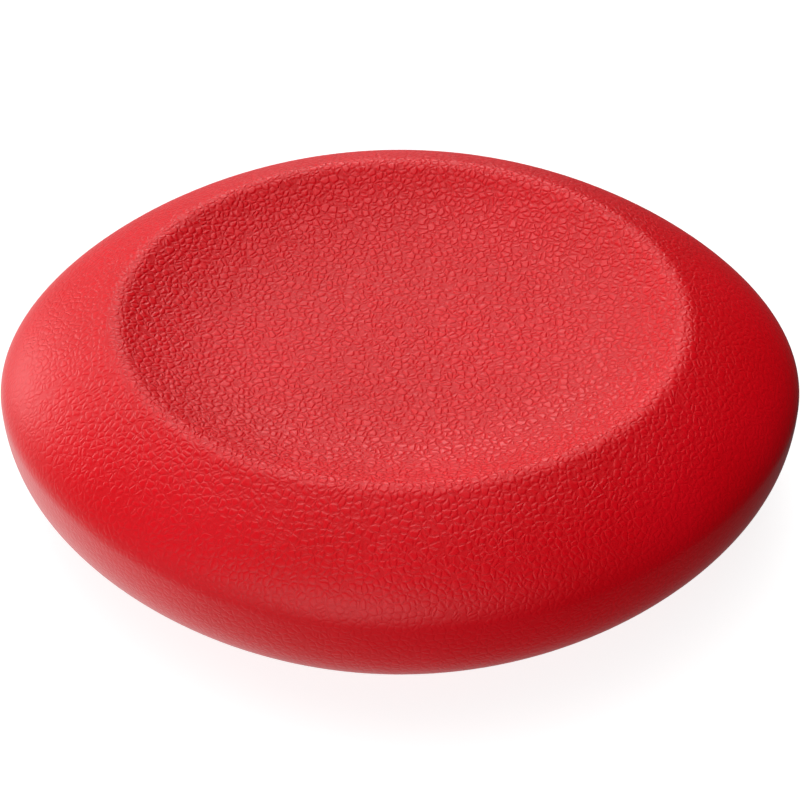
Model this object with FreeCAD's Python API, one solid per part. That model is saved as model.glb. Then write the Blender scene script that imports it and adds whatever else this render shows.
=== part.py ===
import FreeCAD, Part
import math
import os

# A balance pad: an oval pebble-shaped cushion with a shallow dish in its top.
# A grained skin is moulded around soft foam, the foam holds a stiff board low
# down, and a rubber sole is screwed to that board through the underside.
#
# Frame: millimetres, +X along the pad's length, +Z up.
# The origin is the middle of the underside, where the sole meets the floor.

os.makedirs("parts", exist_ok=True)

Vector = FreeCAD.Vector
ORIGIN = Vector(0, 0, 0)
UP = Vector(0, 0, 1)
TOUCH = 1.0e-3               # levels closer than this count as the same

# ---- Driving dimensions: outer form -----------------------------------------

HALF_LENGTH = 165.0          # widest outline, along X
HALF_WIDTH = 139.0           # widest outline, along Y
SIDE_PINCH = 0.113           # how far the widest outline falls inside an ellipse
CREST_HALF_LENGTH = 115.5    # oval line along the top of the rim
CREST_HALF_WIDTH = 98.0
BASE_SHARE = 0.66            # flat underside of the skin, as a share of the widest outline

BASE_HEIGHT = 2.0            # flat underside of the skin, above the floor
WIDEST_HEIGHT = 49.5         # level of the widest outline
CREST_HEIGHT = 86.0          # top of the rim

RIM_ROUND = 10.0             # rounding over the rim
OUTER_SLOPE = 24.0           # degrees below level where the rim meets the flank
INNER_SLOPE = 25.0           # degrees below level where the rim meets the dish
DISH_DEPTH = 13.0            # from the top of the rim to the dish's middle

SKIN_WALL = 2.0

# How far each stretch of the section runs straight on before it bends away
DISH_FLOOR_REACH = 0.55      # share of the dish's radius
DISH_WALL_REACH = 0.30
FLANK_REACH = 0.65           # share of the way to where the end tangents meet
HULL_REACH = 0.73

# ---- Driving dimensions: inside and underside -------------------------------

SOLE_HALF_LENGTH = 100.0
SOLE_HALF_WIDTH = 83.0
SOLE_THICKNESS = 6.0
SOLE_GAP = 0.4               # open joint between the sole's edge and the skin
SOLE_EDGE_ROUND = 1.0
GROOVE_WIDTH = 2.4
GROOVE_DEPTH = 1.6
GROOVE_SHARES = (0.95, 0.89, 0.83, 0.59, 0.53, 0.47, 0.41, 0.35, 0.29, 0.23)

BOARD_HALF_LENGTH = 106.0
BOARD_HALF_WIDTH = 88.0
BOARD_THICKNESS = 9.0
BOARD_EDGE_CHAMFER = 1.0
KEY_HOLE_RADIUS = 11.0       # holes that the foam flows through and locks into
KEY_HOLE_COUNT = 6
KEY_HOLE_SHARE = 0.42        # their place, as a share of the board's half sizes

SCREW_COUNT = 6
SCREW_SHARE = 0.71           # the screws' place, as a share of the sole's half sizes
SCREW_RADIUS = 3.0           # M6
SCREW_LENGTH = 20.0
SCREW_CLEARANCE = 0.4
HEAD_RADIUS = 5.5
HEAD_HEIGHT = 2.6
HEAD_ROUND = 1.0
HEX_SOCKET_RADIUS = 2.3
HEX_SOCKET_DEPTH = 1.6
COUNTERBORE_RADIUS = 7.0
COUNTERBORE_DEPTH = 4.5

WASHER_RADIUS = 6.5
WASHER_THICKNESS = 1.0

SLEEVE_RADIUS = 7.0
SLEEVE_LENGTH = 5.0

NUT_FLANGE_RADIUS = 9.5
NUT_FLANGE_THICKNESS = 1.5
NUT_BARREL_RADIUS = 4.0
NUT_BARREL_LENGTH = 8.0
NUT_THREAD_GAP = 0.05
PRONG_WIDTH = 3.0
PRONG_THICKNESS = 1.2
PRONG_LENGTH = 6.0
PRONG_CIRCLE_RADIUS = 7.6
PRONG_COUNT = 4

VENT_BORE_RADIUS = 2.0
VENT_STEM_RADIUS = 4.5
VENT_FLANGE_RADIUS = 8.0
VENT_FLANGE_THICKNESS = 1.5
VENT_TOP_MARGIN = 2.0        # how far the stem stands above the board
VENT_GAP = 0.1

# ---- How finely the moulded form is sampled ---------------------------------

RING_POINTS = 32
DISH_STEPS = 7
RIM_STEPS = 3
FLANK_STEPS = 6
HULL_STEPS = 6
CAP_SHARE = 0.04             # small flat spot in the dish's middle
SLOPE_STEP = 1.0e-4          # for slopes found by small differences

# ---- Levels worked out from the driving dimensions --------------------------

RECESS_TOP = SOLE_THICKNESS
CORE_BOTTOM = RECESS_TOP + SKIN_WALL
BOARD_BOTTOM = CORE_BOTTOM + SLEEVE_LENGTH
BOARD_TOP = BOARD_BOTTOM + BOARD_THICKNESS
WASHER_BOTTOM = COUNTERBORE_DEPTH - WASHER_THICKNESS
HEAD_BOTTOM = WASHER_BOTTOM - HEAD_HEIGHT
VENT_TOP = BOARD_TOP + VENT_TOP_MARGIN


# ---- Outline curves, seen from above ----------------------------------------

def ellipse_point(half_length, half_width, angle):
    return half_length * math.cos(angle), half_width * math.sin(angle)


def widest_outline(angle):
    x, y = ellipse_point(HALF_LENGTH, HALF_WIDTH, angle)
    return x, y * (1.0 - SIDE_PINCH * math.cos(angle) ** 2)


def crest_outline(angle):
    return ellipse_point(CREST_HALF_LENGTH, CREST_HALF_WIDTH, angle)


def base_outline(angle):
    return ellipse_point(BASE_SHARE * HALF_LENGTH, BASE_SHARE * HALF_WIDTH, angle)


def middle(angle):
    return 0.0, 0.0


# ---- Section from the dish's middle over the rim to the flat underside ------
# Each stretch of the section is a function of the share of its length, 0 to 1.
# It gives how far the point has come from the stretch's inner outline to its
# outer one, and the point's height.

MEAN_CREST = (CREST_HALF_LENGTH + CREST_HALF_WIDTH) / 2.0
MEAN_FLANK = (HALF_LENGTH + HALF_WIDTH) / 2.0 - MEAN_CREST


def bezier(points, share):
    rest = 1.0 - share
    weights = (rest ** 3, 3 * rest ** 2 * share, 3 * rest * share ** 2, share ** 3)
    return (sum(weight * point[0] for weight, point in zip(weights, points)),
            sum(weight * point[1] for weight, point in zip(weights, points)))


def rim_rounding(slope):
    """Distance from the crest and height, where the rounding is this steep."""
    return (RIM_ROUND * math.sin(slope),
            CREST_HEIGHT - RIM_ROUND * (1.0 - math.cos(slope)))


def dish_section(share):
    slope = math.radians(INNER_SLOPE)
    run, height = rim_rounding(slope)
    edge = MEAN_CREST - run
    floor = CREST_HEIGHT - DISH_DEPTH
    wall = DISH_WALL_REACH * edge
    points = ((0.0, floor),
              (DISH_FLOOR_REACH * edge, floor),
              (edge - wall * math.cos(slope), height - wall * math.sin(slope)),
              (edge, height))
    reach, level = bezier(points, CAP_SHARE + (1.0 - CAP_SHARE) * share)
    return reach / MEAN_CREST, level


def inner_rim_section(share):
    run, height = rim_rounding(math.radians(INNER_SLOPE) * (1.0 - share))
    return 1.0 - run / MEAN_CREST, height


def outer_rim_section(share):
    run, height = rim_rounding(math.radians(OUTER_SLOPE) * share)
    return run / MEAN_FLANK, height


def flank_section(share):
    slope = math.radians(OUTER_SLOPE)
    run, height = rim_rounding(slope)
    reach_x = FLANK_REACH * (MEAN_FLANK - run)
    shoulder = height - (MEAN_FLANK - run) * math.tan(slope)
    points = ((run, height),
              (run + reach_x, height - reach_x * math.tan(slope)),
              (MEAN_FLANK, WIDEST_HEIGHT + FLANK_REACH * (shoulder - WIDEST_HEIGHT)),
              (MEAN_FLANK, WIDEST_HEIGHT))
    reach, level = bezier(points, share)
    return reach / MEAN_FLANK, level


def hull_section(share):
    points = ((1.0, WIDEST_HEIGHT),
              (1.0, WIDEST_HEIGHT - HULL_REACH * (WIDEST_HEIGHT - BASE_HEIGHT)),
              (HULL_REACH, BASE_HEIGHT),
              (0.0, BASE_HEIGHT))
    return bezier(points, share)


STRETCHES = ((dish_section, middle, crest_outline, DISH_STEPS),
             (inner_rim_section, middle, crest_outline, RIM_STEPS),
             (outer_rim_section, crest_outline, widest_outline, RIM_STEPS),
             (flank_section, crest_outline, widest_outline, FLANK_STEPS),
             (hull_section, base_outline, widest_outline, HULL_STEPS))


# ---- The moulded form -------------------------------------------------------

def form_point(place, angle):
    """A point on the outer form: place is the stretch's number plus the share of it."""
    number = min(max(int(place), 0), len(STRETCHES) - 1)
    section, inner_outline, outer_outline, _ = STRETCHES[number]
    share, height = section(place - number)
    inner_x, inner_y = inner_outline(angle)
    outer_x, outer_y = outer_outline(angle)
    return Vector(inner_x + (outer_x - inner_x) * share,
                  inner_y + (outer_y - inner_y) * share, height)


def form_normal(place, angle):
    """The outward normal of the outer form."""
    along = form_point(place + SLOPE_STEP, angle) - form_point(place - SLOPE_STEP, angle)
    across = form_point(place, angle + SLOPE_STEP) - form_point(place, angle - SLOPE_STEP)
    normal = along.cross(across)
    normal.normalize()
    return normal


def section_places():
    places = []
    for number, stretch in enumerate(STRETCHES):
        steps = stretch[3]
        places += [number + step / steps for step in range(steps)]
    places.append(float(len(STRETCHES)))
    return places


def form_rings(inset, angles):
    """Rings of points from the dish's middle to the underside, drawn in by the inset."""
    rings = []
    for place in section_places():
        rings.append([form_point(place, angle) - form_normal(place, angle) * inset
                      for angle in angles])
    for end in (0, -1):
        level = sum(point.z for point in rings[end]) / len(angles)
        rings[end] = [Vector(point.x, point.y, level) for point in rings[end]]
    return rings


def form_surface(inset):
    """One smooth surface through the rings: splines round them, then splines across those."""
    angles = [2.0 * math.pi * index / RING_POINTS for index in range(RING_POINTS)]
    rings = form_rings(inset, angles)
    side = [ring[RING_POINTS // 8] for ring in rings]
    distances = [0.0]
    for earlier, later in zip(side, side[1:]):
        distances.append(distances[-1] + earlier.distanceToPoint(later))

    round_curve = Part.BSplineCurve()
    ring_poles = []
    for ring in rings:
        round_curve.interpolate(Points=ring, PeriodicFlag=True, Parameters=angles + [2.0 * math.pi])
        ring_poles.append(round_curve.getPoles())
    cross_curve = Part.BSplineCurve()
    poles = []
    for column in zip(*ring_poles):
        cross_curve.interpolate(Points=list(column), Parameters=distances)
        poles.append(cross_curve.getPoles())

    surface = Part.BSplineSurface()
    surface.buildFromPolesMultsKnots(poles, round_curve.getMultiplicities(),
                                     cross_curve.getMultiplicities(), round_curve.getKnots(),
                                     cross_curve.getKnots(), True, False,
                                     round_curve.Degree, cross_curve.Degree)
    return surface


def moulded_form(inset):
    """The pad's outer form as one solid, drawn in by the inset all over."""
    face = form_surface(inset).toShape()
    rims = [edge for edge in face.Edges if edge.BoundBox.ZLength < TOUCH]
    shell = Part.makeShell([face] + [Part.Face(Part.Wire([rim])) for rim in rims])
    shell.sewShape()
    solid = Part.Solid(shell)
    if solid.Volume < 0:
        solid.reverse()
    return solid


# ---- Plain shapes -----------------------------------------------------------

def disc(radius, bottom, top):
    return Part.makeCylinder(radius, top - bottom, Vector(0, 0, bottom), UP)


def ring(outer_radius, inner_radius, bottom, top):
    return disc(outer_radius, bottom, top).cut(disc(inner_radius, bottom, top))


def oval_disc(half_length, half_width, bottom, top):
    outline = Part.Ellipse(Vector(0, 0, bottom), half_length, half_width).toShape()
    return Part.Face(Part.Wire([outline])).extrude(UP * (top - bottom))


def level_edges(shape, level):
    """The edges of a shape that lie flat at this level."""
    return [edge for edge in shape.Edges
            if abs(edge.BoundBox.ZMin - level) < TOUCH and abs(edge.BoundBox.ZMax - level) < TOUCH]


def oval_places(count, half_length, half_width, first_angle):
    angles = [first_angle + 2.0 * math.pi * index / count for index in range(count)]
    return [ellipse_point(half_length, half_width, angle) for angle in angles]


def copies(shape, places):
    """A copy, at each place, of a shape made on the axis."""
    moved = []
    for x, y in places:
        copy = shape.copy()
        copy.translate(Vector(x, y, 0))
        moved.append(copy)
    return moved


def at_screws(shape):
    return copies(shape, oval_places(SCREW_COUNT, SCREW_SHARE * SOLE_HALF_LENGTH,
                                     SCREW_SHARE * SOLE_HALF_WIDTH, 0.0))


def screw_holes(bottom, top):
    return at_screws(disc(SCREW_RADIUS + SCREW_CLEARANCE, bottom, top))


def vent_hole(bottom, top):
    return disc(VENT_STEM_RADIUS + VENT_GAP, bottom, top)


# ---- The fastenings, each made on the axis ----------------------------------

def tee_nut():
    """Flange on top of the board, threaded barrel inside it, prongs pressed into it."""
    nut = disc(NUT_FLANGE_RADIUS, BOARD_TOP, BOARD_TOP + NUT_FLANGE_THICKNESS)
    nut = nut.fuse(disc(NUT_BARREL_RADIUS, BOARD_TOP - NUT_BARREL_LENGTH, BOARD_TOP))
    for index in range(PRONG_COUNT):
        prong = Part.makeBox(PRONG_THICKNESS, PRONG_WIDTH, PRONG_LENGTH,
                             Vector(PRONG_CIRCLE_RADIUS, -PRONG_WIDTH / 2.0, BOARD_TOP - PRONG_LENGTH))
        prong.rotate(ORIGIN, UP, 360.0 * index / PRONG_COUNT)
        nut = nut.fuse(prong)
    thread = disc(SCREW_RADIUS + NUT_THREAD_GAP, BOARD_TOP - NUT_BARREL_LENGTH,
                  BOARD_TOP + NUT_FLANGE_THICKNESS)
    return nut.cut(thread).removeSplitter()


def hexagon(radius, level):
    corners = [Vector(radius * math.cos(math.radians(60 * side)),
                      radius * math.sin(math.radians(60 * side)), level) for side in range(7)]
    return Part.Face(Part.makePolygon(corners))


def sole_screw():
    """Round-headed screw, head down in the sole's counterbore, with a hexagon socket."""
    head = disc(HEAD_RADIUS, HEAD_BOTTOM, WASHER_BOTTOM)
    head = head.makeFillet(HEAD_ROUND, level_edges(head, HEAD_BOTTOM))
    socket = hexagon(HEX_SOCKET_RADIUS, HEAD_BOTTOM).extrude(UP * HEX_SOCKET_DEPTH)
    shank = disc(SCREW_RADIUS, WASHER_BOTTOM, WASHER_BOTTOM + SCREW_LENGTH)
    return head.cut(socket).fuse(shank)


def screw_washer():
    return ring(WASHER_RADIUS, SCREW_RADIUS + SCREW_CLEARANCE, WASHER_BOTTOM, COUNTERBORE_DEPTH)


def spacer_sleeve():
    """Stand-off between the skin and the board, so that the screws don't squash the foam."""
    return ring(SLEEVE_RADIUS, SCREW_RADIUS + SCREW_CLEARANCE, CORE_BOTTOM, BOARD_BOTTOM)


def vent_grommet():
    """Flanged tube that lets air in and out of the foam through the underside."""
    flange = disc(VENT_FLANGE_RADIUS, COUNTERBORE_DEPTH - VENT_FLANGE_THICKNESS, COUNTERBORE_DEPTH)
    stem = disc(VENT_STEM_RADIUS, COUNTERBORE_DEPTH, VENT_TOP)
    return flange.fuse(stem).cut(disc(VENT_BORE_RADIUS, 0.0, VENT_TOP))


# ---- The board, the sole, the foam and the skin -----------------------------

def insert_board():
    """Stiff oval in the foam, with key holes for the foam and seats for the tee nuts."""
    board = oval_disc(BOARD_HALF_LENGTH, BOARD_HALF_WIDTH, BOARD_BOTTOM, BOARD_TOP)
    board = board.makeChamfer(BOARD_EDGE_CHAMFER,
                              level_edges(board, BOARD_BOTTOM) + level_edges(board, BOARD_TOP))
    key_places = oval_places(KEY_HOLE_COUNT, KEY_HOLE_SHARE * BOARD_HALF_LENGTH,
                             KEY_HOLE_SHARE * BOARD_HALF_WIDTH, math.pi / KEY_HOLE_COUNT)
    holes = copies(disc(KEY_HOLE_RADIUS, BOARD_BOTTOM, BOARD_TOP), key_places)
    holes += screw_holes(BOARD_BOTTOM, BOARD_TOP)
    holes += at_screws(tee_nut())
    holes.append(vent_hole(BOARD_BOTTOM, BOARD_TOP))
    return board.cut(holes)


def sole_groove(share):
    half_length = share * SOLE_HALF_LENGTH
    half_width = share * SOLE_HALF_WIDTH
    outside = oval_disc(half_length, half_width, 0.0, GROOVE_DEPTH)
    return outside.cut(oval_disc(half_length - GROOVE_WIDTH, half_width - GROOVE_WIDTH,
                                 0.0, GROOVE_DEPTH))


def non_slip_sole():
    """Rubber oval let into the underside, grooved where it meets the floor."""
    sole = oval_disc(SOLE_HALF_LENGTH, SOLE_HALF_WIDTH, 0.0, SOLE_THICKNESS)
    sole = sole.makeFillet(SOLE_EDGE_ROUND, level_edges(sole, 0.0))
    cuts = [sole_groove(share) for share in GROOVE_SHARES]
    cuts += at_screws(disc(COUNTERBORE_RADIUS, 0.0, COUNTERBORE_DEPTH))
    cuts += screw_holes(0.0, SOLE_THICKNESS)
    cuts.append(disc(VENT_FLANGE_RADIUS + SOLE_GAP, 0.0, COUNTERBORE_DEPTH))
    cuts.append(vent_hole(0.0, SOLE_THICKNESS))
    return sole.cut(cuts)


def sole_recess(margin, top):
    """The hollow that the sole sits in, wider than the sole by the margin."""
    return oval_disc(SOLE_HALF_LENGTH + margin, SOLE_HALF_WIDTH + margin, 0.0, top)


def core_envelope():
    """Everything that lies inside the skin."""
    return moulded_form(SKIN_WALL).cut(sole_recess(SOLE_GAP + SKIN_WALL, CORE_BOTTOM))


def foam_core(envelope, board):
    """Foam that fills the skin, round the board and through its key holes."""
    buried = [board, vent_hole(CORE_BOTTOM, VENT_TOP)]
    buried += at_screws(disc(SLEEVE_RADIUS, CORE_BOTTOM, BOARD_BOTTOM))
    buried += at_screws(disc(NUT_FLANGE_RADIUS, BOARD_BOTTOM, BOARD_TOP + NUT_FLANGE_THICKNESS))
    return envelope.cut(buried)


def grained_skin(envelope):
    """Closed skin with a recess for the sole in its underside."""
    openings = [sole_recess(SOLE_GAP, RECESS_TOP), vent_hole(RECESS_TOP, CORE_BOTTOM)]
    openings += screw_holes(RECESS_TOP, CORE_BOTTOM)
    return moulded_form(0.0).cut(envelope).cut(openings)


def write_node(name, solids):
    Part.makeCompound(solids).exportStep("parts/" + name + ".step")
    volume = sum(solid.Volume for solid in solids) / 1000.0
    state = "valid" if all(solid.isValid() for solid in solids) else "NOT VALID"
    print(name, state, len(solids), "solids", round(volume, 2), "cm3")


envelope = core_envelope()
board = insert_board()
write_node("grained_skin", [grained_skin(envelope)])
write_node("foam_core", [foam_core(envelope, board)])
write_node("insert_board", [board])
write_node("non_slip_sole", [non_slip_sole()])
write_node("vent_grommet", [vent_grommet()])
write_node("tee_nuts", at_screws(tee_nut()))
write_node("spacer_sleeves", at_screws(spacer_sleeve()))
write_node("sole_screws", at_screws(sole_screw()))
write_node("screw_washers", at_screws(screw_washer()))
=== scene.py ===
import math

import bpy
import numpy as np
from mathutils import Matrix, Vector


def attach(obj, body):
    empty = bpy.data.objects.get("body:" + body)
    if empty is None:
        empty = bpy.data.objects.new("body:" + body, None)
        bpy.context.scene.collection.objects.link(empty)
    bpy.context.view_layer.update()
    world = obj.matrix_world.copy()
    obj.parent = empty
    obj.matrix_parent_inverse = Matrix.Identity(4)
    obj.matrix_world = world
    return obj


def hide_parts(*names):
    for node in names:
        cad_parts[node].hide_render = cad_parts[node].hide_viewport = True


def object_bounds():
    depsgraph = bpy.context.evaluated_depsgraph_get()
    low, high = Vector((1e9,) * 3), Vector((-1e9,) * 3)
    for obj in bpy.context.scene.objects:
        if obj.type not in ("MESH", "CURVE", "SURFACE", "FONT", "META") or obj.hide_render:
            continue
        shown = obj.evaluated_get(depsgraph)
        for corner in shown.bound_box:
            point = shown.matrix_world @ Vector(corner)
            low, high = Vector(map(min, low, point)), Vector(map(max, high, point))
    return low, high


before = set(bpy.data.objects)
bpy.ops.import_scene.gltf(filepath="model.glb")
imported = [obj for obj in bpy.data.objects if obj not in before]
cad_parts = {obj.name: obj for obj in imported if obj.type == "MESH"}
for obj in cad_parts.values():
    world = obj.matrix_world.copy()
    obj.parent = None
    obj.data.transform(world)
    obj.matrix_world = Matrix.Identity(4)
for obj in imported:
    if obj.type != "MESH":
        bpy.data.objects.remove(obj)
cad_low, cad_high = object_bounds()

# The pad's form, in metres. These are the driving sizes of the CAD design.
HALF_LENGTH = 0.165  # of the widest line
HALF_WIDTH = 0.139
SIDE_PINCH = 0.113  # how far the widest outline falls inside an ellipse towards its ends
CREST_HALF_LENGTH = 0.1155
CREST_HALF_WIDTH = 0.098
BASE_SHARE = 0.66  # of the half length and the half width, at the base's edge
BASE_HEIGHT = 0.002
WIDEST_HEIGHT = 0.0495
CREST_HEIGHT = 0.086
RIM_ROUND = 0.010
OUTER_SLOPE = math.radians(24)
INNER_SLOPE = math.radians(25)
DISH_DEPTH = 0.013

# How far the handles of the form's curves reach, as shares of the stretch that each curve spans
DISH_FLOOR_REACH = 0.55
DISH_WALL_REACH = 0.30
FLANK_REACH = 0.65
HULL_REACH = 0.73

# The recess that holds the sole
RECESS_HALF_LENGTH = 0.1004
RECESS_HALF_WIDTH = 0.0834
RECESS_TOP = 0.006
RECESS_LIP_ROUND = 0.0006
RECESS_CORNER = 0.99  # share of the recess's outline at which its flat roof starts

# Middle sizes, along which the profiles are drawn
MEAN_CREST = (CREST_HALF_LENGTH + CREST_HALF_WIDTH) / 2
MEAN_FLANK = (HALF_LENGTH + HALF_WIDTH) / 2 - MEAN_CREST

# Fineness of the skin's mesh
DISH_CELLS = 176  # cells along each side of the square grid that fills the dish
AROUND = 4 * DISH_CELLS
FLANK_GAP = 0.0013
HULL_GAP = 0.0019
BASE_RINGS = (0.6, 0.25)  # shares of the way from the recess to the base's edge
PROFILE_SAMPLES = 2000
RIM_SAMPLES = 500

# Leather grain moulded into the skin
PEBBLE = 0.0028
BEND_SIZE = 1.2  # in pebbles, like the two below
BEND = 0.8
CREASE_WIDTH = 0.25
RELIEF_HEIGHT = 0.0001  # of the grain in the mesh
GRAIN_HEIGHT = 0.00026  # of the grain in the shading
BUMP_SHARE = 0.9  # how strongly the shading shows that height

# Strength of the grain, as a share of its full height in the dish
FLANK_GRAIN = 0.75
LOST_DOWN_THE_FLANK = 0.5
LOST_AT_THE_ENDS = 0.2
LOST_ON_THE_CREST = 0.1
LEAST_GRAIN = 0.12
CREST_BAND = 0.0045  # how far from the crest its loss spreads
RIM_FADE = 0.002  # how quickly the dish's grain gives way to the flank's

# The skin's look
RED = (0.67, 0.001, 0.006, 1)
LIGHTER_RED = (0.72, 0.002, 0.009, 1)
# Painted shade for the grain's creases
CREASE_SHADE_RED = (0.42, 0.001, 0.003, 1)
CREASE_SHADE = 0.32  # painted shade: how far the deepest creases darken towards the crease's red, in place of the shade that falls in them
PEBBLE_ROUGHNESS = 0.30
CREASE_ROUGHNESS = 0.46
PATCH_SIZE = 0.06
PORE_SIZE = 0.0005
PORE_HEIGHT = 0.06  # as a share of the grain's
SKIN_SHINE = 0.25  # specular level
SKIN_IOR = 1.5

# How detailed the noises are. A noise for colour is spread from its middle range before it is used.
PLAIN_NOISE = 1.0
PORE_NOISE = 2.0
RICH_NOISE = 3.0
NOISE_LOW = 0.3
NOISE_HIGH = 0.7

# Looks of the other pieces: the material's name, colour and roughness, and its texture's size and height
LOOKS = {
    "foam_core": ("cream_foam", (0.80, 0.74, 0.60), 0.9, 0.0012, 0.0004),
    "insert_board": ("birch_board", (0.62, 0.45, 0.26), 0.6, 0.002, 0.0001),
    "non_slip_sole": ("black_rubber", (0.035, 0.034, 0.034), 0.7, 0.0008, 0.00012),
    "vent_grommet": ("grey_plastic", (0.10, 0.10, 0.105), 0.45, 0.001, 0.00003),
    "spacer_sleeves": ("pale_plastic", (0.55, 0.55, 0.53), 0.45, 0.001, 0.00003),
}
STEEL_LOOK = ("zinc_steel", (0.62, 0.63, 0.65), 0.32, 0.0006, 0.00002)
STEEL_NODES = ("tee_nuts", "sole_screws", "screw_washers")
CLOUD_SIZE = 0.02  # of the pieces' patches of colour and roughness
DARKER = 0.8
SMOOTHER = 0.9
ROUGHER = 1.1

# Camera
VIEW_ELEVATION = math.radians(44)
CAMERA_DISTANCE = 1.037
LENS = 112.5
AIM_BELOW_WIDEST = 0.0091  # how far under the widest line's middle the view's centre is
NEAREST_SEEN = 0.05

# Floor and the wall that it curves up into, as distance from the middle and height
FLOOR_PROFILE = ((0.4, 0.0), (1.6, 0.0), (2.4, 0.15), (2.8, 0.7), (3.0, 2.6))
FLOOR_SIDES = 64
FLOOR_GAP = 0.0005  # between the floor and the sole
FLOOR_GREY = 0.35
FLOOR_GLOW = 0.83

# Soft lights of the studio. Each has its turn from +X towards +Y and its height above the horizon, in
# degrees, then its brightness and how narrow it is.
STUDIO_LIGHTS = {
    "back_window": (113, 64, 4.8, 14),
    "ceiling": (50, 79, 1.0, 20),
    "back_low": (94, 23, 5.4, 40),
    "left_window": (148, 14, 5.0, 28),
    "front_fill": (-105, 14, 2.7, 8),
    "floor_bounce": (160, -43, 1.5, 3.6),
}


def add(tree, kind, inputs=None, **settings):
    """A new node with its settings and inputs. An input is a number, a colour or another node's output."""
    node = tree.nodes.new(kind)
    for name, value in settings.items():
        setattr(node, name, value)
    for name, value in (inputs or {}).items():
        if isinstance(value, bpy.types.NodeSocket):
            tree.links.new(value, node.inputs[name])
        else:
            node.inputs[name].default_value = value
    return node


def maths(tree, operation, first, second=0.0):
    return add(tree, "ShaderNodeMath", {0: first, 1: second}, operation=operation).outputs[0]


def ramp(tree, value, low, high, bottom=0.0, top=1.0):
    """value taken smoothly from low..high to bottom..top, and held outside."""
    inputs = {"Value": value, "From Min": low, "From Max": high, "To Min": bottom, "To Max": top}
    return add(tree, "ShaderNodeMapRange", inputs, interpolation_type="SMOOTHSTEP").outputs[0]


def noise(tree, place, size, detail):
    return add(tree, "ShaderNodeTexNoise", {"Vector": place, "Scale": 1 / size, "Detail": detail})


def shifted(tree, place, size, amount):
    """place moved about by a noise of that size, up to about half of amount each way."""
    cloud = noise(tree, place, size, PLAIN_NOISE).outputs["Color"]
    centred = add(tree, "ShaderNodeVectorMath", {0: cloud, 1: (0.5, 0.5, 0.5)}, operation="SUBTRACT")
    inputs = {0: centred.outputs[0], "Scale": amount}
    scaled = add(tree, "ShaderNodeVectorMath", inputs, operation="SCALE")
    return add(tree, "ShaderNodeVectorMath", {0: place, 1: scaled.outputs[0]}, operation="ADD").outputs[0]


def leather(tree, place):
    """Height of the moulded leather grain, from 0 in the creases to 1.

    The skin's mesh and its material share it. Cells bent a little by a noise make the pebbles, and the
    creases run along the cells' edges.
    """
    bent = shifted(tree, place, PEBBLE * BEND_SIZE, PEBBLE * BEND)
    inputs = {"Vector": bent, "Scale": 1 / PEBBLE, "Randomness": 1.0}
    cells = add(tree, "ShaderNodeTexVoronoi", inputs, feature="DISTANCE_TO_EDGE")
    return ramp(tree, cells.outputs["Distance"], 0.0, CREASE_WIDTH)


def oval(half_length, half_width, angles):
    return np.column_stack([half_length * np.cos(angles), half_width * np.sin(angles)])


def widest_outline(angles):
    pinch = 1 - SIDE_PINCH * np.cos(angles) ** 2
    return np.column_stack([HALF_LENGTH * np.cos(angles), HALF_WIDTH * np.sin(angles) * pinch])


def bezier(points):
    """Points along the curve from the first to the last point, with the two between as its handles."""
    t = np.linspace(0, 1, PROFILE_SAMPLES)[:, None]
    first, second, third, last = np.array(points)
    return (
        (1 - t) ** 3 * first
        + 3 * t * (1 - t) ** 2 * second
        + 3 * t**2 * (1 - t) * third
        + t**3 * last
    )


def rim_rounding(slope):
    """How far out of the crest, and how high, the rounded rim is where it has that slope."""
    return RIM_ROUND * math.sin(slope), CREST_HEIGHT - RIM_ROUND * (1 - math.cos(slope))


def dish_profile():
    """Reach from the middle and height, from the dish's middle up to the crest."""
    run, height = rim_rounding(INNER_SLOPE)
    edge = MEAN_CREST - run
    floor = CREST_HEIGHT - DISH_DEPTH
    wall = DISH_WALL_REACH * edge
    foot = (edge - wall * math.cos(INNER_SLOPE), height - wall * math.sin(INNER_SLOPE))
    hollow = bezier([(0, floor), (DISH_FLOOR_REACH * edge, floor), foot, (edge, height)])
    slopes = np.linspace(INNER_SLOPE, 0, RIM_SAMPLES)
    rim = np.array([(MEAN_CREST - rim_rounding(s)[0], rim_rounding(s)[1]) for s in slopes])
    return np.vstack([hollow, rim[1:]])


def flank_profile():
    """Reach from the crest and height, from the crest down to the widest line."""
    run, height = rim_rounding(OUTER_SLOPE)
    slopes = np.linspace(0, OUTER_SLOPE, RIM_SAMPLES)
    rim = np.array([rim_rounding(s) for s in slopes])
    reach = FLANK_REACH * (MEAN_FLANK - run)
    shoulder = height - (MEAN_FLANK - run) * math.tan(OUTER_SLOPE)
    side = bezier(
        [
            (run, height),
            (run + reach, height - reach * math.tan(OUTER_SLOPE)),
            (MEAN_FLANK, WIDEST_HEIGHT + FLANK_REACH * (shoulder - WIDEST_HEIGHT)),
            (MEAN_FLANK, WIDEST_HEIGHT),
        ]
    )
    return np.vstack([rim, side[1:]])


def hull_profile():
    """Share of the way from the base's edge to the widest line, and height, going down to the base."""
    drop = HULL_REACH * (WIDEST_HEIGHT - BASE_HEIGHT)
    start = (1, WIDEST_HEIGHT)
    end = (0, BASE_HEIGHT)
    return bezier([start, (1, WIDEST_HEIGHT - drop), (HULL_REACH, BASE_HEIGHT), end])


def along(profile, width=1.0):
    """Length run along a profile up to each of its points. width turns a share into metres."""
    steps = np.diff(profile * np.array([width, 1.0]), axis=0)
    return np.concatenate([[0], np.cumsum(np.hypot(steps[:, 0], steps[:, 1]))])


def spaced(profile, gap, width=1.0):
    """The profile's points taken again at even steps of about gap."""
    length = along(profile, width)
    places = np.linspace(0, length[-1], round(length[-1] / gap) + 1)
    return np.column_stack([np.interp(places, length, profile[:, k]) for k in (0, 1)])


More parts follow.
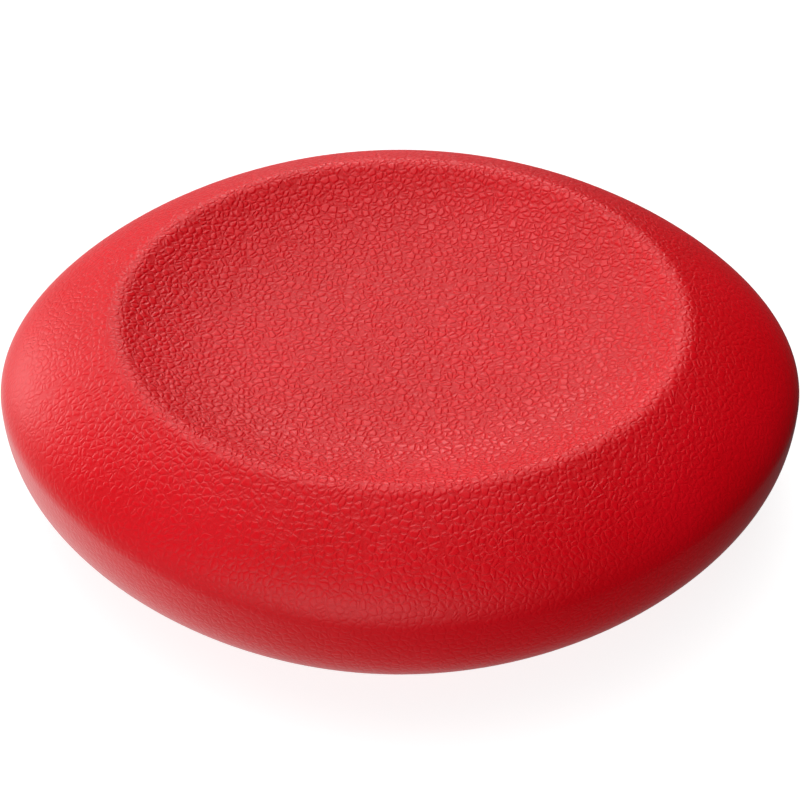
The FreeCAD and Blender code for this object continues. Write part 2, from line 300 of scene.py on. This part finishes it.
def square_to_disc(cells):
    """A square grid of points bent into the unit disc, its rim evenly spaced."""
    across = np.linspace(-1, 1, cells + 1) * math.pi / 4
    x, y = np.meshgrid(across, across, indexing="ij")
    return math.sqrt(2) * np.sin(x) * np.cos(y), math.sqrt(2) * np.cos(x) * np.sin(y)


def square_rim(cells):
    """Places of the square grid's rim points in order, anticlockwise from the first corner."""
    side = np.arange(cells)
    wide = cells + 1
    low = side * wide
    right = cells * wide + side
    high = (cells - side) * wide + cells
    left = cells - side
    return np.concatenate([low, right, high, left])


def ring(plan, height):
    return np.column_stack([plan, np.full(len(plan), height)])


def outer_rings(angles):
    """The rings below the crest: the flank, the hull, the flat base and the recess for the sole."""
    crest = oval(CREST_HALF_LENGTH, CREST_HALF_WIDTH, angles)
    widest = widest_outline(angles)
    base = BASE_SHARE * oval(HALF_LENGTH, HALF_WIDTH, angles)
    recess = oval(RECESS_HALF_LENGTH, RECESS_HALF_WIDTH, angles)
    rings = []
    for reach, height in spaced(flank_profile(), FLANK_GAP)[1:]:
        rings.append(ring(crest + (widest - crest) * reach / MEAN_FLANK, height))
    for share, height in spaced(hull_profile(), HULL_GAP, MEAN_FLANK)[1:]:
        rings.append(ring(base + (widest - base) * share, height))
    lip = RECESS_LIP_ROUND / np.linalg.norm(base - recess, axis=1)[:, None]
    for share in BASE_RINGS:
        rings.append(ring(recess + (base - recess) * share, BASE_HEIGHT))
    rings.append(ring(recess + (base - recess) * lip, BASE_HEIGHT))
    for height in (BASE_HEIGHT + RECESS_LIP_ROUND, RECESS_TOP - RECESS_LIP_ROUND):
        rings.append(ring(recess, height))
    rings.append(ring(recess * RECESS_CORNER, RECESS_TOP))
    return rings


def skin_surface():
    """Points and faces of the skin's outside: a square grid in the dish, then rings down to the recess."""
    u, v = square_to_disc(DISH_CELLS)
    share = np.hypot(u, v).ravel()
    turn = np.arctan2(v, u).ravel()
    profile = dish_profile()
    length = along(profile)
    reach = np.interp(share * length[-1], length, profile[:, 0]) / MEAN_CREST
    height = np.interp(share * length[-1], length, profile[:, 1])
    plan = oval(CREST_HALF_LENGTH, CREST_HALF_WIDTH, turn) * reach[:, None]
    dish = np.column_stack([plan, height])
    rim = square_rim(DISH_CELLS)
    rings = outer_rings(turn[rim])
    points = np.vstack([dish, *rings])
    wide = DISH_CELLS + 1
    corner = (np.arange(DISH_CELLS)[:, None] * wide + np.arange(DISH_CELLS)).ravel()
    faces = [np.column_stack([corner, corner + wide, corner + wide + 1, corner + 1])]
    above = rim
    for number in range(len(rings)):
        below = len(dish) + number * AROUND + np.arange(AROUND)
        faces.append(np.column_stack([np.roll(above, -1), above, below, np.roll(below, -1)]))
        above = below
    faces.append(ladder(above))
    return points, np.vstack(faces)


def ladder(loop):
    """Quads that close a flat loop by joining each point to the one across from it."""
    first = np.arange(len(loop) // 2 - 1)
    last = len(loop) - 1 - first
    return np.column_stack([loop[first], loop[first + 1], loop[last - 1], loop[last]])


def mesh_from(name, points, quads):
    mesh = bpy.data.meshes.new(name)
    mesh.from_pydata(points.tolist(), [], quads.tolist())
    mesh.validate()
    mesh.shade_smooth()
    return mesh


def grain_strength(points):
    """How strongly the grain is moulded at each point.

    It is full in the dish, and fades down the flank and towards the two ends.
    """
    turn = np.arctan2(points[:, 1] / HALF_WIDTH, points[:, 0] / HALF_LENGTH)
    crest = np.hypot(points[:, 0] / CREST_HALF_LENGTH, points[:, 1] / CREST_HALF_WIDTH)
    beyond = (crest - 1) * MEAN_CREST
    band = 1 - LOST_ON_THE_CREST * np.exp(-((beyond / CREST_BAND) ** 2))
    down = np.clip((CREST_HEIGHT - points[:, 2]) / (CREST_HEIGHT - WIDEST_HEIGHT), 0, 1)
    ends = np.cos(turn) ** 4
    flank = FLANK_GRAIN - LOST_DOWN_THE_FLANK * down - LOST_AT_THE_ENDS * ends
    inside = np.where(points[:, 2] > WIDEST_HEIGHT, 1 / (1 + np.exp(beyond / RIM_FADE)), 0)
    return np.maximum(band * (inside + (1 - inside) * flank), LEAST_GRAIN)


def relief_modifier(skin):
    """Keeps each point's place before the grain as an attribute, then moves it by the grain's height.

    The height is taken from the grain's middle, so the skin keeps its size.
    """
    tree = bpy.data.node_groups.new("moulded_grain", "GeometryNodeTree")
    tree.interface.new_socket("Geometry", in_out="INPUT", socket_type="NodeSocketGeometry")
    tree.interface.new_socket("Geometry", in_out="OUTPUT", socket_type="NodeSocketGeometry")
    start = add(tree, "NodeGroupInput")
    end = add(tree, "NodeGroupOutput")
    place = add(tree, "GeometryNodeInputPosition").outputs[0]
    kept = add(
        tree,
        "GeometryNodeStoreNamedAttribute",
        {"Geometry": start.outputs[0], "Name": "smooth_place"},
        data_type="FLOAT_VECTOR",
        domain="POINT",
    )
    tree.links.new(place, kept.inputs["Value"])
    strength = add(tree, "GeometryNodeInputNamedAttribute", {"Name": "grain_strength"}, data_type="FLOAT")
    height = maths(tree, "SUBTRACT", leather(tree, place), 0.5)
    lift = maths(tree, "MULTIPLY", maths(tree, "MULTIPLY", height, strength.outputs[0]), RELIEF_HEIGHT)
    normal = add(tree, "GeometryNodeInputNormal").outputs[0]
    offset = add(tree, "ShaderNodeVectorMath", {0: normal, "Scale": lift}, operation="SCALE")
    moved = add(
        tree, "GeometryNodeSetPosition", {"Geometry": kept.outputs[0], "Offset": offset.outputs[0]}
    )
    tree.links.new(moved.outputs[0], end.inputs[0])
    skin.modifiers.new("moulded_grain", "NODES").node_group = tree


def build_skin():
    points, quads = skin_surface()
    mesh = mesh_from("moulded_skin", points, quads)
    strength = mesh.attributes.new("grain_strength", "FLOAT", "POINT")
    strength.data.foreach_set("value", grain_strength(points).astype(np.float32))
    skin = bpy.data.objects.new("moulded_skin", mesh)
    bpy.context.scene.collection.objects.link(skin)
    smooth = skin.modifiers.new("smooth", "SUBSURF")
    smooth.levels = 0
    smooth.render_levels = 1
    relief_modifier(skin)
    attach(skin, "root")
    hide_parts("grained_skin")
    return skin


def new_material(name):
    material = bpy.data.materials.new(name)
    material.use_nodes = True
    tree = material.node_tree
    surface = tree.nodes["Principled BSDF"]
    return material, tree, surface


def mixed(tree, factor, first, second):
    """A colour between two. A mix node has its colours at inputs 6 and 7, and its result at output 2."""
    inputs = {0: factor, 6: first, 7: second}
    return add(tree, "ShaderNodeMix", inputs, data_type="RGBA").outputs[2]


def skin_material():
    material, tree, surface = new_material("red_grained_skin")
    place = add(tree, "ShaderNodeAttribute", attribute_name="smooth_place").outputs["Vector"]
    strength = add(tree, "ShaderNodeAttribute", attribute_name="grain_strength").outputs["Fac"]
    grain = leather(tree, place)
    depth = maths(tree, "MULTIPLY", maths(tree, "SUBTRACT", 1.0, grain), strength)
    patches = noise(tree, place, PATCH_SIZE, RICH_NOISE).outputs["Fac"]
    base = mixed(tree, ramp(tree, patches, NOISE_LOW, NOISE_HIGH), RED, LIGHTER_RED)
    # Painted shade: the base red darkens towards the crease's red by each crease's depth
    colour = mixed(tree, maths(tree, "MULTIPLY", depth, CREASE_SHADE), base, CREASE_SHADE_RED)
    tree.links.new(colour, surface.inputs["Base Color"])
    roughness = ramp(tree, depth, 0.0, 1.0, PEBBLE_ROUGHNESS, CREASE_ROUGHNESS)
    tree.links.new(roughness, surface.inputs["Roughness"])
    pores = noise(tree, place, PORE_SIZE, PORE_NOISE).outputs["Fac"]
    height = maths(tree, "MULTIPLY", grain, strength)
    fine = maths(tree, "ADD", height, maths(tree, "MULTIPLY", pores, PORE_HEIGHT))
    bump = add(tree, "ShaderNodeBump", {"Height": fine, "Strength": BUMP_SHARE, "Distance": GRAIN_HEIGHT})
    tree.links.new(bump.outputs[0], surface.inputs["Normal"])
    surface.inputs["IOR"].default_value = SKIN_IOR
    surface.inputs["Specular IOR Level"].default_value = SKIN_SHINE
    return material


def plain_material(name, colour, roughness, texture_size, texture_height, metal=0.0):
    """A surface with a little variation in its colour and roughness, and a fine texture."""
    material, tree, surface = new_material(name)
    place = add(tree, "ShaderNodeTexCoord").outputs["Object"]
    cloud = noise(tree, place, CLOUD_SIZE, RICH_NOISE).outputs["Fac"]
    shade = tuple(DARKER * channel for channel in colour)
    tint = mixed(tree, ramp(tree, cloud, NOISE_LOW, NOISE_HIGH), (*shade, 1), (*colour, 1))
    tree.links.new(tint, surface.inputs["Base Color"])
    wear = ramp(tree, cloud, NOISE_LOW, NOISE_HIGH, roughness * SMOOTHER, roughness * ROUGHER)
    tree.links.new(wear, surface.inputs["Roughness"])
    fine = noise(tree, place, texture_size, RICH_NOISE).outputs["Fac"]
    bump = add(tree, "ShaderNodeBump", {"Height": fine, "Strength": 1.0, "Distance": texture_height})
    tree.links.new(bump.outputs[0], surface.inputs["Normal"])
    surface.inputs["Metallic"].default_value = metal
    return material


def paint(node, material):
    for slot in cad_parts[node].material_slots:
        slot.material = material


def build_camera():
    back = Vector((0, -math.cos(VIEW_ELEVATION), math.sin(VIEW_ELEVATION)))
    down = Vector((0, -math.sin(VIEW_ELEVATION), -math.cos(VIEW_ELEVATION)))
    middle = Vector(((cad_low.x + cad_high.x) / 2, (cad_low.y + cad_high.y) / 2, WIDEST_HEIGHT))
    aim = middle + down * AIM_BELOW_WIDEST
    camera = bpy.data.objects.new("camera", bpy.data.cameras.new("camera"))
    camera.data.lens = LENS
    camera.data.clip_start = NEAREST_SEEN
    camera.location = aim + back * CAMERA_DISTANCE
    camera.rotation_euler = (-back).to_track_quat("-Z", "Y").to_euler()
    bpy.context.scene.collection.objects.link(camera)
    bpy.context.scene.camera = camera


def build_world():
    """A dim studio with soft lights round the pad, each fading evenly from its middle."""
    world = bpy.data.worlds.new("studio")
    world.use_nodes = True
    tree = world.node_tree
    direction = add(tree, "ShaderNodeTexCoord").outputs["Generated"]
    light = 0.0
    for turn, height, brightness, narrowness in STUDIO_LIGHTS.values():
        flat = math.cos(math.radians(height))
        towards = (
            flat * math.cos(math.radians(turn)),
            flat * math.sin(math.radians(turn)),
            math.sin(math.radians(height)),
        )
        facing = add(tree, "ShaderNodeVectorMath", {0: direction, 1: towards}, operation="DOT_PRODUCT")
        away = maths(tree, "SUBTRACT", facing.outputs["Value"], 1.0)
        fade = maths(tree, "EXPONENT", maths(tree, "MULTIPLY", away, narrowness))
        light = maths(tree, "ADD", maths(tree, "MULTIPLY", fade, brightness), light)
    tree.links.new(light, tree.nodes["Background"].inputs["Strength"])
    tree.nodes["Background"].inputs["Color"].default_value = (1, 1, 1, 1)
    bpy.context.scene.world = world


def floor_material():
    """Pale and lit a little from within, and clear from below, so that the pad's underside can be seen."""
    material, tree, surface = new_material("pale_floor")
    surface.inputs["Base Color"].default_value = (FLOOR_GREY, FLOOR_GREY, FLOOR_GREY, 1)
    surface.inputs["Roughness"].default_value = 1.0
    surface.inputs["Specular IOR Level"].default_value = 0.0
    surface.inputs["Emission Color"].default_value = (1, 1, 1, 1)
    surface.inputs["Emission Strength"].default_value = FLOOR_GLOW
    from_below = add(tree, "ShaderNodeNewGeometry").outputs["Backfacing"]
    clear = add(tree, "ShaderNodeBsdfTransparent").outputs[0]
    sides = add(tree, "ShaderNodeMixShader", {0: from_below, 1: surface.outputs[0], 2: clear})
    tree.links.new(sides.outputs[0], tree.nodes["Material Output"].inputs["Surface"])
    return material


def build_floor():
    """A wide pale floor just under the sole, curving up into a wall. Only the camera sees it."""
    turns = np.linspace(0, 2 * math.pi, FLOOR_SIDES, endpoint=False)
    rings = [ring(oval(reach, reach, turns), height - FLOOR_GAP) for reach, height in FLOOR_PROFILE]
    quads = [ladder(np.arange(FLOOR_SIDES))]
    for number in range(len(rings) - 1):
        inner = number * FLOOR_SIDES + np.arange(FLOOR_SIDES)
        outer = inner + FLOOR_SIDES
        quads.append(np.column_stack([inner, outer, np.roll(outer, -1), np.roll(inner, -1)]))
    mesh = mesh_from("floor", np.vstack(rings), np.vstack(quads))
    mesh.materials.append(floor_material())
    floor = bpy.data.objects.new("floor", mesh)
    bpy.context.scene.collection.objects.link(floor)
    floor.visible_diffuse = False
    floor.visible_glossy = False
    floor.visible_shadow = False


build_camera()
skin = build_skin()
skin.data.materials.append(skin_material())
for node, look in LOOKS.items():
    paint(node, plain_material(*look))
steel = plain_material(*STEEL_LOOK, metal=1.0)
for node in STEEL_NODES:
    paint(node, steel)
build_world()
build_floor()
bpy.context.scene.view_settings.view_transform = "Standard"
